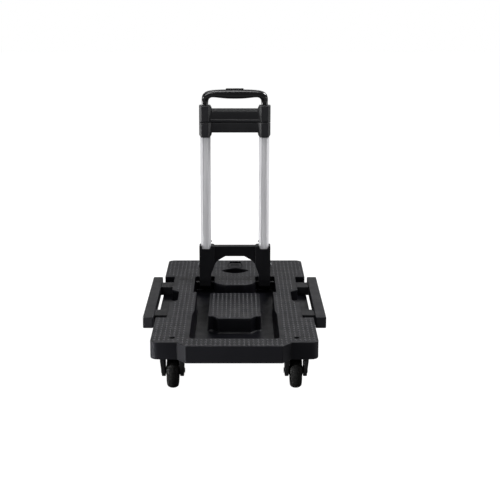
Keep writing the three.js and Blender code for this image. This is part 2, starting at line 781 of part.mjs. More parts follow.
function upperCollar() {
  const bottom = COLLAR.seam + GAP / 2;
  const { inner, outer, upperTop, barFront, barRear, upperBarTop, bevel, barLip } = COLLAR;
  const { topTaper: [run, drop] } = COLLAR;
  const face = [
    [inner, bottom], [outer, bottom], [outer, upperTop],
    [inner + run, upperTop], [inner, upperTop - drop],
  ].map(([x, z]) => new THREE.Vector2(x, z));
  const bar = rounded([
    [barFront - barLip, bottom],
    [barRear, bottom, 1],
    [barRear, upperBarTop - bevel, 2],
    [barRear - bevel * 0.6, upperBarTop, 1],
    [barFront + bevel * 0.6, upperBarTop, 1],
    [barFront, upperBarTop - bevel, 2],
    [barFront, bottom + 6],
    [barFront - barLip, bottom + 5],
  ], 2);
  return stageMoulding(face, bar, [
    alongZ(tubeSection(MIDDLE_TUBE, GAP), bottom - 1, MIDDLE_TUBE.top + GAP),
    alongZ(tubeSection(INNER_TUBE, GAP), bottom, upperTop + 1),
  ]);
}

// A plug that closes a stage tube's foot and slides in the tube outside it.
function footPlug(size, drop, rise) {
  const flange = alongZ(tubeSection(size), size.bottom - drop, size.bottom - GAP);
  const spigot = alongZ(tubeSection(size, -size.wall - GAP), size.bottom - drop, size.bottom + rise);
  return flange.add(spigot);
}

// The arched grip, hollow for the button's yoke and bored down each leg for a push rod.
function grip() {
  const { bottom, top, shoulder, halfWidth, legInner, front, rear } = GRIP;
  const outerCurve = new THREE.SplineCurve([
    new THREE.Vector2(halfWidth, shoulder - 15),
    new THREE.Vector2(halfWidth - 4.4, shoulder - 4.6),
    new THREE.Vector2(halfWidth - 15, shoulder),
    new THREE.Vector2(halfWidth / 3, top - 0.3),
    new THREE.Vector2(0, top),
  ]).getPoints(14);
  const innerCurve = new THREE.SplineCurve([
    new THREE.Vector2(0, top - 19.4),
    new THREE.Vector2(30, top - 18),
    new THREE.Vector2(48, top - 16),
    new THREE.Vector2(53, top - 18),
    new THREE.Vector2(legInner, top - 23),
  ]).getPoints(12);
  const half = [
    new THREE.Vector2(halfWidth - 0.6, bottom),
    ...outerCurve,
    ...innerCurve,
    new THREE.Vector2(legInner + 0.4, bottom),
  ];
  const section = rounded(rectangle(front, rear, bottom - 1, top + 0.5, 7), 3);
  const plan = rounded(rectangle(-halfWidth - 1, halfWidth + 1, front, rear, 8), 3);
  const legBox = block(-80, 80, TUBE_Y - 6.5, TUBE_Y + 6.5, bottom, bottom + 14);
  const upper = block(-80, 80, front - 1, rear + 1, bottom + 13, top + 1);
  const rightHalf = alongY(half, front, rear);
  const arch = rightHalf.add(sided(rightHalf, -1))
    .intersect(alongX(section, -80, 80))
    .intersect(alongZ(plan, 0, top + 1))
    .intersect(legBox.add(upper));
  const spigot = alongZ(tubeSection(INNER_TUBE, -INNER_TUBE.wall - GAP), GRIP.spigotBottom, bottom + 2);
  const yokeRoom = block(
    -YOKE.half - 0.5,
    YOKE.half + 0.5,
    TUBE_Y - YOKE.depth / 2 - 0.5,
    TUBE_Y + YOKE.depth / 2 + 0.5,
    YOKE.top - YOKE.thick - BUTTON.travel - 0.3,
    YOKE.top + 0.4,
  );
  const buttonRoom = block(
    -BUTTON.half - 0.4,
    BUTTON.half + 0.4,
    TUBE_Y - BUTTON.depth / 2 - 0.4,
    TUBE_Y + BUTTON.depth / 2 + 0.4,
    YOKE.top - YOKE.thick - BUTTON.travel - 0.3,
    top + PAST,
  );
  const rodBore = barZ(ROD.bore, ROD.x, TUBE_Y, GRIP.spigotBottom - 1, YOKE.top - 1, 12);
  const whole = joined([arch, spigot, sided(spigot, -1)]);
  return cutAll(whole, [yokeRoom, buttonRoom, rodBore, sided(rodBore, -1)]);
}

// The push button with the yoke that carries its travel out to both rods.
function gripButton() {
  const cap = alongY(
    rounded(rectangle(-BUTTON.half, BUTTON.half, YOKE.top - YOKE.thick, BUTTON.top, 1.2), 2),
    TUBE_Y - BUTTON.depth / 2,
    TUBE_Y + BUTTON.depth / 2,
  );
  const yoke = block(
    -YOKE.half,
    YOKE.half,
    TUBE_Y - YOKE.depth / 2,
    TUBE_Y + YOKE.depth / 2,
    YOKE.top - YOKE.thick,
    YOKE.top,
  );
  return cap.add(yoke);
}

place('handle_bracket', bracket(), 'handlePlastic');
place('lower_collar', lowerCollar(), 'handlePlastic');
place('upper_collar', upperCollar(), 'handlePlastic');
place('grip', grip(), 'gripPlastic');
place('grip_button', gripButton(), 'gripPlastic');

for (const [name, side] of SIDES) {
  const rod = barZ(ROD.radius, ROD.x, TUBE_Y, ROD.bottom, YOKE.top - YOKE.thick - GAP, 12);
  const middlePlug = footPlug(MIDDLE_TUBE, 4, 15);
  const innerPlug = footPlug(INNER_TUBE, 4, 12);
  place(`tube_rivet_${name}`, sided(tubeRivet(), side), 'steel');
  place(`outer_tube_${name}`, sided(outerTube(), side), 'aluminium');
  place(`middle_tube_${name}`, sided(tube(MIDDLE_TUBE), side), 'aluminium');
  place(`middle_plug_${name}`, sided(middlePlug, side), 'handlePlastic');
  place(`inner_tube_${name}`, sided(tube(INNER_TUBE), side), 'aluminium');
  place(`inner_plug_${name}`, sided(innerPlug, side), 'handlePlastic');
  place(`push_rod_${name}`, sided(rod, side), 'steel');
}

// ---------------------------------------------------------------- casters

// All caster pieces are drawn about the swivel axis and then moved to each corner.

function casterRace() {
  const ring = barZ(CASTER.raceRadius, 0, 0, CASTER.crownTop + GAP, CASTER.raceTop, 32);
  return ring.subtract(barZ(CASTER.kingpinRadius + GAP, 0, 0, 0, 200, 20));
}

function kingpin(top) {
  return joined([
    barZ(CASTER.kingpinRadius, 0, 0, CASTER.crownBottom - 1, top - 1, 20),
    barZ(CASTER.kingpinRadius + 3, 0, 0, CASTER.crownBottom - 2.2, CASTER.crownBottom - GAP, 20),
  ]);
}

// The fork: a round crown with a cheek down each side to the axle, which trails the crown.
function casterFork() {
  const { trail, wheelRadius, crownBottom, crownTop, plateInner, plateOuter } = CASTER;
  const crown = barZ(CASTER.crownRadius, 0, 0, crownBottom, crownTop, 28);
  const cheekOutline = rounded([
    [-17, crownTop],
    [-17, crownBottom - 9, 5],
    [trail - 8.5, wheelRadius - 9.4, 8],
    [trail + 8.5, wheelRadius - 9.4, 8],
    [trail + 8.5, crownBottom - 12, 6],
    [16, crownTop],
  ], 3);
  const taper = alongY([
    new THREE.Vector2(plateInner, wheelRadius - 12),
    new THREE.Vector2(CASTER.plateTip, wheelRadius - 12),
    new THREE.Vector2(plateOuter, crownBottom - 4),
    new THREE.Vector2(plateOuter, crownTop),
    new THREE.Vector2(plateInner, crownTop),
  ], -60, 60);
  const cheek = alongX(cheekOutline, plateInner, plateOuter).intersect(taper);
  const roof = barZ(CASTER.crownRadius, 0, 0, 0, crownTop, 28);
  const below = block(-60, 60, -60, 60, 0, DECK.bottom - 1.5);
  const cheeks = joined([cheek, sided(cheek, -1)]).intersect(roof.add(below));
  const axleHole = barX(CASTER.axleRadius + GAP, -40, 40, trail, wheelRadius);
  return cutAll(crown.add(cheeks), [
    barZ(CASTER.kingpinRadius + GAP, 0, 0, 0, 200, 20),
    axleHole,
  ]);
}

function casterAxle() {
  const { axleRadius, plateTip, headThick, trail, wheelRadius } = CASTER;
  const headStart = plateTip + 0.8;
  return joined([
    barX(axleRadius, -headStart - 1, headStart + 1, trail, wheelRadius),
    barX(axleRadius + 2, headStart, headStart + headThick, trail, wheelRadius, 6),
    barX(axleRadius + 2, -headStart - headThick, -headStart, trail, wheelRadius, 16),
  ]);
}

// The wheel centre: a rim and a long boss joined by a thin web.
function wheelHub() {
  const { rimRadius, hubHalf, hubRadius, boreRadius } = CASTER;
  const rimHalf = 8.5;
  const webHalf = 2.5;
  const ringInner = rimRadius - 4;
  return turnedX([
    [boreRadius, -hubHalf], [hubRadius, -hubHalf], [hubRadius, -webHalf],
    [ringInner, -webHalf], [ringInner, -rimHalf], [rimRadius, -rimHalf],
    [rimRadius, rimHalf], [ringInner, rimHalf], [ringInner, webHalf],
    [hubRadius, webHalf], [hubRadius, hubHalf], [boreRadius, hubHalf],
    [boreRadius, -hubHalf],
  ], 24);
}

function wheelTyre() {
  const { wheelRadius, rimRadius } = CASTER;
  const half = CASTER.tyreWidth / 2;
  const inner = rimRadius + GAP;
  return turnedX([
    [inner, -half + 1], [wheelRadius - 5.5, -half], [wheelRadius - 2.2, -half + 2],
    [wheelRadius, -half + 6.4], [wheelRadius, half - 6.4], [wheelRadius - 2.2, half - 2],
    [wheelRadius - 5.5, half], [inner, half - 1], [inner, -half + 1],
  ], 36);
}

for (const [end, y, pinTop] of [
  ['front', CASTER.frontY, DECK.top - 4],
  ['rear', CASTER.rearY, DECK.top - 8],
]) {
  for (const [name, side] of SIDES) {
    const corner = new THREE.Group();
    corner.position.set(side * CASTER.x, y, 0);
    cart.add(corner);
    const wheel = new THREE.Group();
    wheel.position.set(0, CASTER.trail, CASTER.wheelRadius);
    corner.add(wheel);
    place(`caster_race_${end}_${name}`, casterRace(), 'steel', corner);
    place(`caster_kingpin_${end}_${name}`, kingpin(pinTop), 'steel', corner);
    place(`caster_fork_${end}_${name}`, casterFork(), 'casterPlastic', corner);
    place(`caster_axle_${end}_${name}`, casterAxle(), 'steel', corner);
    place(`wheel_hub_${end}_${name}`, wheelHub(), 'casterPlastic', wheel);
    place(`wheel_tyre_${end}_${name}`, wheelTyre(), 'tyreRubber', wheel);
  }
}

export default cart;
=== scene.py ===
"""Looks for the folding luggage cart: rounded mouldings, tread, grip, tubes and tyres.

Lengths are metres in the frame of the CAD: +X the cart's right, +Y its rear, +Z up, floor at z = 0.
"""

import json
import math

import bmesh
import bpy
import numpy as np
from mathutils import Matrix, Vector
from mathutils.bvhtree import BVHTree


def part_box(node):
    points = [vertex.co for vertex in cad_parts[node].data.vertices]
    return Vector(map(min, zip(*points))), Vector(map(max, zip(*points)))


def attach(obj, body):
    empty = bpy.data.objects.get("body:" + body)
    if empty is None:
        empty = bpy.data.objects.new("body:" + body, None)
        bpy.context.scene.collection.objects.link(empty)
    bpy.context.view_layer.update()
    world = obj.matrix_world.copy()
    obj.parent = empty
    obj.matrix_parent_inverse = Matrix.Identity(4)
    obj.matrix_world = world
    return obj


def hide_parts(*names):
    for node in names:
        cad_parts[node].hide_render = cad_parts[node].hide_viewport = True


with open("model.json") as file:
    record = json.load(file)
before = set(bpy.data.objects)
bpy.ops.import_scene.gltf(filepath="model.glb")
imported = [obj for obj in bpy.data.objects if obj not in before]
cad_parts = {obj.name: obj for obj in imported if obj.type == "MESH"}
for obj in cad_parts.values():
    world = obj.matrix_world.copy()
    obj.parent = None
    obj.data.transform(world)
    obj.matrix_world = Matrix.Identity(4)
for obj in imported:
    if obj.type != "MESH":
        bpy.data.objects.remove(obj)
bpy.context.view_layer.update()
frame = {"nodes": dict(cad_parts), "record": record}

MM = 0.001
SIDES = ("left", "right")
CORNERS = [f"{end}_{side}" for end in ("front", "rear") for side in SIDES]
DECK_LOW, DECK_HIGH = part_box("deck_shell")
DECK_TOP = DECK_HIGH.z


# ---------------------------------------------------------------- materials


def shader(name):
    """A new material's node tree with a Principled shader wired to the output."""
    material = bpy.data.materials.new(name)
    material.use_nodes = True
    tree = material.node_tree
    tree.nodes.clear()
    surface = tree.nodes.new("ShaderNodeBsdfPrincipled")
    output = tree.nodes.new("ShaderNodeOutputMaterial")
    tree.links.new(surface.outputs["BSDF"], output.inputs["Surface"])
    return material, tree, surface


def stretched_coordinates(tree, stretch):
    """Object coordinates scaled along each axis, so noise can run in streaks."""
    coordinates = tree.nodes.new("ShaderNodeTexCoord")
    mapping = tree.nodes.new("ShaderNodeMapping")
    mapping.inputs["Scale"].default_value = stretch
    tree.links.new(coordinates.outputs["Object"], mapping.inputs["Vector"])
    return mapping.outputs["Vector"]


def noise(tree, vector, scale, detail):
    """Noise between 0 and 1, finer with a larger scale."""
    node = tree.nodes.new("ShaderNodeTexNoise")
    node.inputs["Scale"].default_value = scale
    node.inputs["Detail"].default_value = detail
    tree.links.new(vector, node.inputs["Vector"])
    return node.outputs["Fac"]


def ramp(tree, factor, low, high, stops=(0.35, 0.65)):
    """A colour ramp from one colour to another over a stretch of the factor."""
    node = tree.nodes.new("ShaderNodeValToRGB")
    node.color_ramp.elements[0].position = stops[0]
    node.color_ramp.elements[1].position = stops[1]
    node.color_ramp.elements[0].color = (*low, 1.0)
    node.color_ramp.elements[1].color = (*high, 1.0)
    tree.links.new(factor, node.inputs["Fac"])
    return node.outputs["Color"]


NOISE_SPAN = (0.3, 0.7)


def remap(tree, factor, low, high):
    """A noise factor stretched to run from low to high."""
    node = tree.nodes.new("ShaderNodeMapRange")
    node.inputs["From Min"].default_value = NOISE_SPAN[0]
    node.inputs["From Max"].default_value = NOISE_SPAN[1]
    node.inputs["To Min"].default_value = low
    node.inputs["To Max"].default_value = high
    tree.links.new(factor, node.inputs["Value"])
    return node.outputs["Result"]


def bumped(tree, surface, height, depth):
    """Fine relief in a surface, of the given depth in metres."""
    node = tree.nodes.new("ShaderNodeBump")
    node.inputs["Distance"].default_value = depth
    node.inputs["Strength"].default_value = 1.0
    tree.links.new(height, node.inputs["Height"])
    tree.links.new(node.outputs["Normal"], surface.inputs["Normal"])


WEAR_REACH = (0.505, 0.56)
BLACK, WHITE = (0, 0, 0), (1, 1, 1)


def edge_wear(tree, base, worn):
    """Lightens a colour along raised edges, where handling has rubbed it."""
    geometry = tree.nodes.new("ShaderNodeNewGeometry")
    mask = ramp(tree, geometry.outputs["Pointiness"], BLACK, WHITE, WEAR_REACH)
    node = tree.nodes.new("ShaderNodeMix")
    node.data_type = "RGBA"
    node.inputs["B"].default_value = (*worn, 1.0)
    tree.links.new(mask, node.inputs["Factor"])
    tree.links.new(base, node.inputs["A"])
    return node.outputs["Result"]


FLOW_SCALE = 14
SHEEN_SCALE = 45


def moulded_plastic(name, dark, light, worn, roughness, grain, depth, specular):
    """Black moulded plastic: spark-eroded grain, faint flow mottling and rubbed edges.

    grain is the size of the grain and depth its relief, both in metres.
    """
    material, tree, surface = shader(name)
    vector = stretched_coordinates(tree, (1, 1, 1))
    flow = noise(tree, vector, FLOW_SCALE, 5)
    grain_noise = noise(tree, vector, 1 / grain, 2)
    base = ramp(tree, flow, dark, light)
    tree.links.new(edge_wear(tree, base, worn), surface.inputs["Base Color"])
    sheen = noise(tree, vector, SHEEN_SCALE, 4)
    tree.links.new(remap(tree, sheen, *roughness), surface.inputs["Roughness"])
    surface.inputs["Specular IOR Level"].default_value = specular
    bumped(tree, surface, grain_noise, depth)
    return material


def drawn_aluminium():
    """Satin extruded tube with fine die lines along its length."""
    material, tree, surface = shader("satin_drawn_aluminium")
    streaks = noise(tree, stretched_coordinates(tree, (1, 1, 0.006)), 2600, 3)
    broad = noise(tree, stretched_coordinates(tree, (1, 1, 0.05)), 160, 3)
    base = ramp(tree, broad, (0.84, 0.837, 0.865), (0.95, 0.947, 0.975))
    tree.links.new(base, surface.inputs["Base Color"])
    tree.links.new(remap(tree, streaks, 0.4, 0.52), surface.inputs["Roughness"])
    surface.inputs["Metallic"].default_value = 0.08
    bumped(tree, surface, streaks, 0.00002)
    return material


def plated_steel(name, dark, light):
    """Plated steel, slightly blotched."""
    material, tree, surface = shader(name)
    vector = stretched_coordinates(tree, (1, 1, 1))
    base = ramp(tree, noise(tree, vector, 260, 5), dark, light)
    tree.links.new(base, surface.inputs["Base Color"])
    blotches = noise(tree, vector, 700, 4)
    tree.links.new(remap(tree, blotches, 0.28, 0.5), surface.inputs["Roughness"])
    surface.inputs["Metallic"].default_value = 1.0
    bumped(tree, surface, noise(tree, vector, 1800, 2), 0.00002)
    return material


def worn_rubber():
    """Dull tyre rubber with pale dust caught in its grain."""
    material, tree, surface = shader("dull_tyre_rubber")
    vector = stretched_coordinates(tree, (1, 1, 1))
    dust = noise(tree, vector, 420, 6)
    base = ramp(tree, dust, (0.004, 0.004, 0.004), (0.02, 0.02, 0.0195), (0.45, 0.72))
    tree.links.new(base, surface.inputs["Base Color"])
    tree.links.new(remap(tree, noise(tree, vector, 120, 4), 0.6, 0.85), surface.inputs["Roughness"])
    surface.inputs["Specular IOR Level"].default_value = 0.15
    bumped(tree, surface, noise(tree, vector, 1400, 4), 0.00015)
    return material


DECK = moulded_plastic(
    "textured_deck_plastic",
    dark=(0.0028, 0.0028, 0.0042), light=(0.005, 0.005, 0.0068), worn=(0.022, 0.022, 0.026),
    roughness=(0.34, 0.44), grain=0.0009, depth=0.00003, specular=0.14,
)
WING = moulded_plastic(
    "satin_wing_plastic",
    dark=(0.005, 0.005, 0.0063), light=(0.008, 0.008, 0.0098), worn=(0.03, 0.03, 0.034),
    roughness=(0.4, 0.5), grain=0.0009, depth=0.00004, specular=0.2,
)
HANDLE = moulded_plastic(
    "satin_handle_plastic",
    dark=(0.012, 0.012, 0.014), light=(0.018, 0.018, 0.0205), worn=(0.03, 0.03, 0.034),
    roughness=(0.34, 0.44), grain=0.0007, depth=0.00003, specular=0.4,
)
BRACKET = moulded_plastic(
    "matt_bracket_plastic",
    dark=(0.002, 0.002, 0.003), light=(0.0035, 0.0035, 0.0048), worn=(0.02, 0.02, 0.023),
    roughness=(0.38, 0.48), grain=0.0007, depth=0.00003, specular=0.2,
)
GRIP = moulded_plastic(
    "semi_gloss_grip_plastic",
    dark=(0.008, 0.008, 0.009), light=(0.012, 0.012, 0.0132), worn=(0.014, 0.014, 0.015),
    roughness=(0.16, 0.24), grain=0.0012, depth=0.00002, specular=0.85,
)
CASTER = moulded_plastic(
    "black_caster_nylon",
    dark=(0.002, 0.002, 0.0022), light=(0.004, 0.004, 0.0043), worn=(0.022, 0.022, 0.023),
    roughness=(0.38, 0.52), grain=0.0008, depth=0.00004, specular=0.2,
)
# Painted highlight: the studs are coloured several times lighter than the deck so they stand out as
# lit dots against the darker ground between them.
STUD_PAINTED_HIGHLIGHT = moulded_plastic(
    "stud_plastic_painted_highlight",
    dark=(0.013, 0.013, 0.016), light=(0.02, 0.02, 0.0235), worn=(0.045, 0.045, 0.05),
    roughness=(0.4, 0.5), grain=0.0015, depth=0.00001, specular=0.3,
)
ALUMINIUM = drawn_aluminium()
STEEL = plated_steel("zinc_plated_steel", (0.36, 0.37, 0.39), (0.56, 0.57, 0.6))
# Painted shade: the pivot pins, axles and kingpins are coloured near black so they read as the
# shade of the pockets and caster holes they sit in; the rivets keep the bright steel.
POCKET_SHADE_STEEL = plated_steel("steel_painted_pocket_shade", (0.02, 0.02, 0.021), (0.05, 0.05, 0.052))
RUBBER = worn_rubber()

SLOT_MATERIALS = {
    "deck_plastic": DECK,
    "handle_plastic": HANDLE,
    "grip_plastic": GRIP,
    "caster_plastic": CASTER,
    "aluminium": ALUMINIUM,
    "steel": STEEL,
    "tyre_rubber": RUBBER,
}
NODE_SLOT = {part["node"]: part["material_slot"] for part in frame["record"]["subparts"]}
NODE_BODY = {
    node: body for body, nodes in frame["record"]["behaviour"]["bodies"].items() for node in nodes
}

for node_name, node_object in frame["nodes"].items():
    node_object.data.materials.clear()
    node_object.data.materials.append(SLOT_MATERIALS[NODE_SLOT[node_name]])


# ---------------------------------------------------------------- mesh helpers


def linked(name, mesh):
    piece = bpy.data.objects.new(name, mesh)
    bpy.context.scene.collection.objects.link(piece)
    return piece


def mesh_from(name, points, faces):
    mesh = bpy.data.meshes.new(name)
    mesh.from_pydata([tuple(p) for p in points], [], faces)
    mesh.update()
    return mesh


def smooth(mesh, angle):
    """Smooth shading, with edges sharper than the angle in degrees kept crisp."""
    mesh.shade_smooth()
    mesh.set_sharp_from_angle(angle=math.radians(angle))


def apply_modifiers(piece):
    """Makes the piece's modifiers final in its mesh."""
    depsgraph = bpy.context.evaluated_depsgraph_get()
    final = bpy.data.meshes.new_from_object(piece.evaluated_get(depsgraph))
    piece.modifiers.clear()
    piece.data = final


def finished(piece, body, material, replaced=()):
    """Gives a piece its material and its body, and hides the nodes it stands for."""
    piece.data.materials.clear()
    piece.data.materials.append(material)
    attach(piece, body)
    if replaced:
        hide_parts(*replaced)


SHARP_EDGE = math.radians(32)
WELD = 1e-6
BEVEL_WELD = 2e-6


def rounded_edges(node, width, segments=2, material=None):
    """The node's own shape with every sharp edge rounded, standing in for the node."""
    bm = bmesh.new()
    bm.from_mesh(frame["nodes"][node].data)
    bmesh.ops.remove_doubles(bm, verts=bm.verts, dist=WELD)
    bm.normal_update()
    sharp = [
        edge for edge in bm.edges
        if len(edge.link_faces) == 2 and edge.calc_face_angle() > SHARP_EDGE
    ]
    bmesh.ops.bevel(
        bm, geom=sharp, offset=width, segments=segments, profile=0.5, affect="EDGES",
        clamp_overlap=False,
    )
    bmesh.ops.remove_doubles(bm, verts=bm.verts, dist=BEVEL_WELD)
    mesh = bpy.data.meshes.new(f"{node}_moulding")
    bm.to_mesh(mesh)
    bm.free()
    piece = linked(f"{node}_moulding", mesh)
    flat_faced(piece)
    slot = NODE_SLOT[node]
    skin = material or SLOT_MATERIALS[slot]
    finished(piece, NODE_BODY[node], skin, [node])
    return piece


def flat_faced(piece, angle=44):
    """Smooth shading that still leaves the broad faces flat."""
    smooth(piece.data, angle)
    weigh = piece.modifiers.new("broad_faces_stay_flat", "WEIGHTED_NORMAL")
    weigh.mode = "FACE_AREA"
    weigh.weight = 80
    weigh.keep_sharp = True
    apply_modifiers(piece)


def outward(mesh):
    """Turns the faces of a closed mesh to point out."""
    bm = bmesh.new()
    bm.from_mesh(mesh)
    bmesh.ops.recalc_face_normals(bm, faces=bm.faces)
    bm.to_mesh(mesh)
    bm.free()


def rounded_profile(corners, steps=4):
    """Points of a closed outline from (u, v, radius) corners, each radius drawn as an arc."""
    points = []
    for i, (u, v, radius) in enumerate(corners):
        corner = Vector((u, v))
        before = (Vector(corners[i - 1][:2]) - corner).normalized()
        after = (Vector(corners[(i + 1) % len(corners)][:2]) - corner).normalized()
        if radius == 0:
            points.append((u, v))
            continue
        half = before.angle(after) / 2
        reach = radius / math.tan(half)
        centre = corner + (before + after).normalized() * (radius / math.sin(half))
        start = corner + before * reach - centre
        end = corner + after * reach - centre
        sweep = start.angle_signed(end)
        for k in range(steps + 1):
            turn = -sweep * k / steps
            c, s = math.cos(turn), math.sin(turn)
            points.append((
                centre.x + c * start.x - s * start.y,
                centre.y + s * start.x + c * start.y,
            ))
    return points


# ---------------------------------------------------------------- deck


def deck():
    """The deck moulding, its tread of raised studs, the wings, the lever and the pivot pins."""
    shell = rounded_edges("deck_shell", 1.1 * MM, 3)
    tread(shell)
    for side in SIDES:
        rounded_edges(f"wing_{side}", 1.2 * MM, 3, material=WING)
        # The pivot pins take the near-black steel, painted shade for their pockets.
        rounded_edges(f"pivot_pin_{side}", 0.4 * MM, material=POCKET_SHADE_STEEL)
    rounded_edges("fold_release_lever", 0.5 * MM)


STUD_SIDES = 12
STUD_PITCH = 8.4 * MM
STUD_ROW = 13 * MM
STUD_FIRST_ROW = 8 * MM
STUD_HALF = (2.3 * MM, 5.4 * MM)
STUD_HEIGHT = 0.9 * MM
STUD_CLEAR = 0.9 * MM
STUD_LEVELS = [(1.0, -0.2 * MM), (0.92, 0.3 * STUD_HEIGHT), (0.7, 0.85 * STUD_HEIGHT)]
PROBE_ABOVE = 20 * MM
TOP_TOLERANCE = 0.02 * MM


def stud_centres(shell):
    """Places in straight columns on the deck's top where a stud fits clear of every edge."""
    tree = BVHTree.FromObject(shell, bpy.context.evaluated_depsgraph_get())
    above = DECK_TOP + PROBE_ABOVE
    ring = [
        ((STUD_HALF[0] + STUD_CLEAR) * math.cos(a), (STUD_HALF[1] + STUD_CLEAR) * math.sin(a))
        for a in (2 * math.pi * k / STUD_SIDES for k in range(STUD_SIDES))
    ]

    def on_top(x, y):
        hit = tree.ray_cast(Vector((x, y, above)), Vector((0, 0, -1)))
        return hit[0] is not None and abs(hit[0].z - DECK_TOP) < TOP_TOLERANCE

    centres = []
    columns = int((DECK_HIGH.x - DECK_LOW.x) / STUD_PITCH / 2)
    rows = int((DECK_HIGH.y - DECK_LOW.y) / STUD_ROW)
    for row in range(rows + 1):
        y = DECK_LOW.y + STUD_FIRST_ROW + row * STUD_ROW
        for k in range(-columns, columns + 1):
            x = k * STUD_PITCH
            if on_top(x, y) and all(on_top(x + dx, y + dy) for dx, dy in ring):
                centres.append((x, y))
    return centres


def tread(shell):
    """One mesh of low oval studs, each drawn in towards a shallow crown."""
    points, faces = [], []
    for x, y in stud_centres(shell):
        base = len(points)
        for scale, height in STUD_LEVELS:
            for k in range(STUD_SIDES):
                a = 2 * math.pi * k / STUD_SIDES
                across, along = (scale * half for half in STUD_HALF)
                points.append((
                    x + across * math.cos(a), y + along * math.sin(a), DECK_TOP + height,
                ))
        points.append((x, y, DECK_TOP + STUD_HEIGHT))
        for level in range(len(STUD_LEVELS) - 1):
            for k in range(STUD_SIDES):
                low = base + level * STUD_SIDES
                nxt = (k + 1) % STUD_SIDES
                faces.append((low + k, low + nxt, low + STUD_SIDES + nxt, low + STUD_SIDES + k))
        crown = base + (len(STUD_LEVELS) - 1) * STUD_SIDES
        for k in range(STUD_SIDES):
            faces.append((crown + k, crown + (k + 1) % STUD_SIDES, len(points) - 1))
        faces.append(tuple(base + k for k in reversed(range(STUD_SIDES))))
    piece = linked("deck_tread", mesh_from("deck_tread", points, faces))
    smooth(piece.data, 50)
    # The studs take the lighter colour, a painted highlight against the darker deck.
    finished(piece, "deck", STUD_PAINTED_HIGHLIGHT)


deck()

# ---------------------------------------------------------------- handle

rounded_edges("handle_bracket", 0.9 * MM, 3, material=BRACKET)
for moulding in ("lower_collar", "upper_collar"):
    rounded_edges(moulding, 0.9 * MM, 3)
for side in SIDES:
    rounded_edges(f"tube_rivet_{side}", 0.5 * MM)
    for plug in ("middle_plug", "inner_plug"):
        rounded_edges(f"{plug}_{side}", 0.3 * MM)


TUBE_WALL = 1.2 * MM
FRONT_RADIUS, SIDE_RADIUS, GROOVE_RADIUS = 1.0 * MM, 1.2 * MM, 0.1 * MM
GROOVE_PLACE = 0.62
GROOVE_DEPTH = 0.8


def tube(node, corner, groove):
    """An extruded tube with chamfered corners, a bore and two shallow grooves down its front."""
    low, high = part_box(node)
    cx, cy = (low.x + high.x) / 2, (low.y + high.y) / 2
    hx, hy = (high.x - low.x) / 2, (high.y - low.y) / 2
    lines = []
    for middle in (-GROOVE_PLACE * (hx - corner), GROOVE_PLACE * (hx - corner)):
        lines += [
            (middle - groove, -hy, GROOVE_RADIUS),
            (middle - groove / 2, -hy + groove * GROOVE_DEPTH, GROOVE_RADIUS),
            (middle + groove / 2, -hy + groove * GROOVE_DEPTH, GROOVE_RADIUS),
            (middle + groove, -hy, GROOVE_RADIUS),
        ]
    corners = [
        (-hx + corner, -hy, FRONT_RADIUS), *lines, (hx - corner, -hy, FRONT_RADIUS),
        (hx, -hy + corner, SIDE_RADIUS), (hx, hy - corner, SIDE_RADIUS),
        (hx - corner, hy, SIDE_RADIUS), (-hx + corner, hy, SIDE_RADIUS),
        (-hx, hy - corner, SIDE_RADIUS), (-hx, -hy + corner, SIDE_RADIUS),
    ]
    outside = rounded_profile(corners, 3)
    scale_x, scale_y = (hx - TUBE_WALL) / hx, (hy - TUBE_WALL) / hy
    inside = [(u * scale_x, v * scale_y) for u, v in outside]
    count = len(outside)
    rings = [(outside, low.z), (outside, high.z), (inside, high.z), (inside, low.z)]
    points = [(cx + u, cy + v, z) for ring, z in rings for u, v in ring]
    faces = []
    for ring in range(4):
        start, end = ring * count, ((ring + 1) % 4) * count
        for i in range(count):
            nxt = (i + 1) % count
            faces.append((start + i, start + nxt, end + nxt, end + i))
    piece = linked(f"{node}_extrusion", mesh_from(node, points, faces))
    outward(piece.data)
    smooth(piece.data, 28)
    finished(piece, NODE_BODY[node], ALUMINIUM, [node])


for side in SIDES:
    tube(f"outer_tube_{side}", 4.5 * MM, 0.8 * MM)
    tube(f"middle_tube_{side}", 3.6 * MM, 0.5 * MM)
    tube(f"inner_tube_{side}", 2.8 * MM, 0.4 * MM)


def box_mesh(name, low, high):
    """A closed box between two corners given in millimetres."""
    corners = [
        (x * MM, y * MM, z * MM)
        for x in (low[0], high[0]) for y in (low[1], high[1]) for z in (low[2], high[2])
    ]
    faces = [(0, 1, 3, 2), (4, 6, 7, 5), (0, 4, 5, 1), (2, 3, 7, 6), (0, 2, 6, 4), (1, 5, 7, 3)]
    return mesh_from(name, corners, faces)


def cut(piece, cutters):
    """Cuts each mesh out of the piece."""
    holders = []
    for mesh in cutters:
        holder = linked("cutter", mesh)
        holders.append(holder)
        step = piece.modifiers.new("cut", "BOOLEAN")
        step.operation = "DIFFERENCE"
        step.solver = "EXACT"
        step.object = holder
    bpy.context.view_layer.update()
    apply_modifiers(piece)
    for holder in holders:
        bpy.data.objects.remove(holder)


LINE_STEPS = 12


def smooth_line(controls, count):
    """Evenly spread points along a Catmull-Rom line through the controls."""
    points = [Vector(c) for c in controls]
    padded = [2 * points[0] - points[1], *points, 2 * points[-1] - points[-2]]
    line = []
    for i in range(1, len(padded) - 2):
        p0, p1, p2, p3 = padded[i - 1:i + 3]
        for k in range(LINE_STEPS):
            t = k / LINE_STEPS
            line.append(0.5 * (
                2 * p1 + (p2 - p0) * t + (2 * p0 - 5 * p1 + 4 * p2 - p3) * t ** 2
                + (3 * p1 - p0 - 3 * p2 + p3) * t ** 3
            ))
    line.append(points[-1])
    lengths = np.concatenate([[0], np.cumsum([(b - a).length for a, b in zip(line, line[1:])])])
    wanted = np.linspace(0, lengths[-1], count)
    across = np.interp(wanted, lengths, [p[0] for p in line])
    along = np.interp(wanted, lengths, [p[1] for p in line])
    return [Vector(p) for p in zip(across, along)]


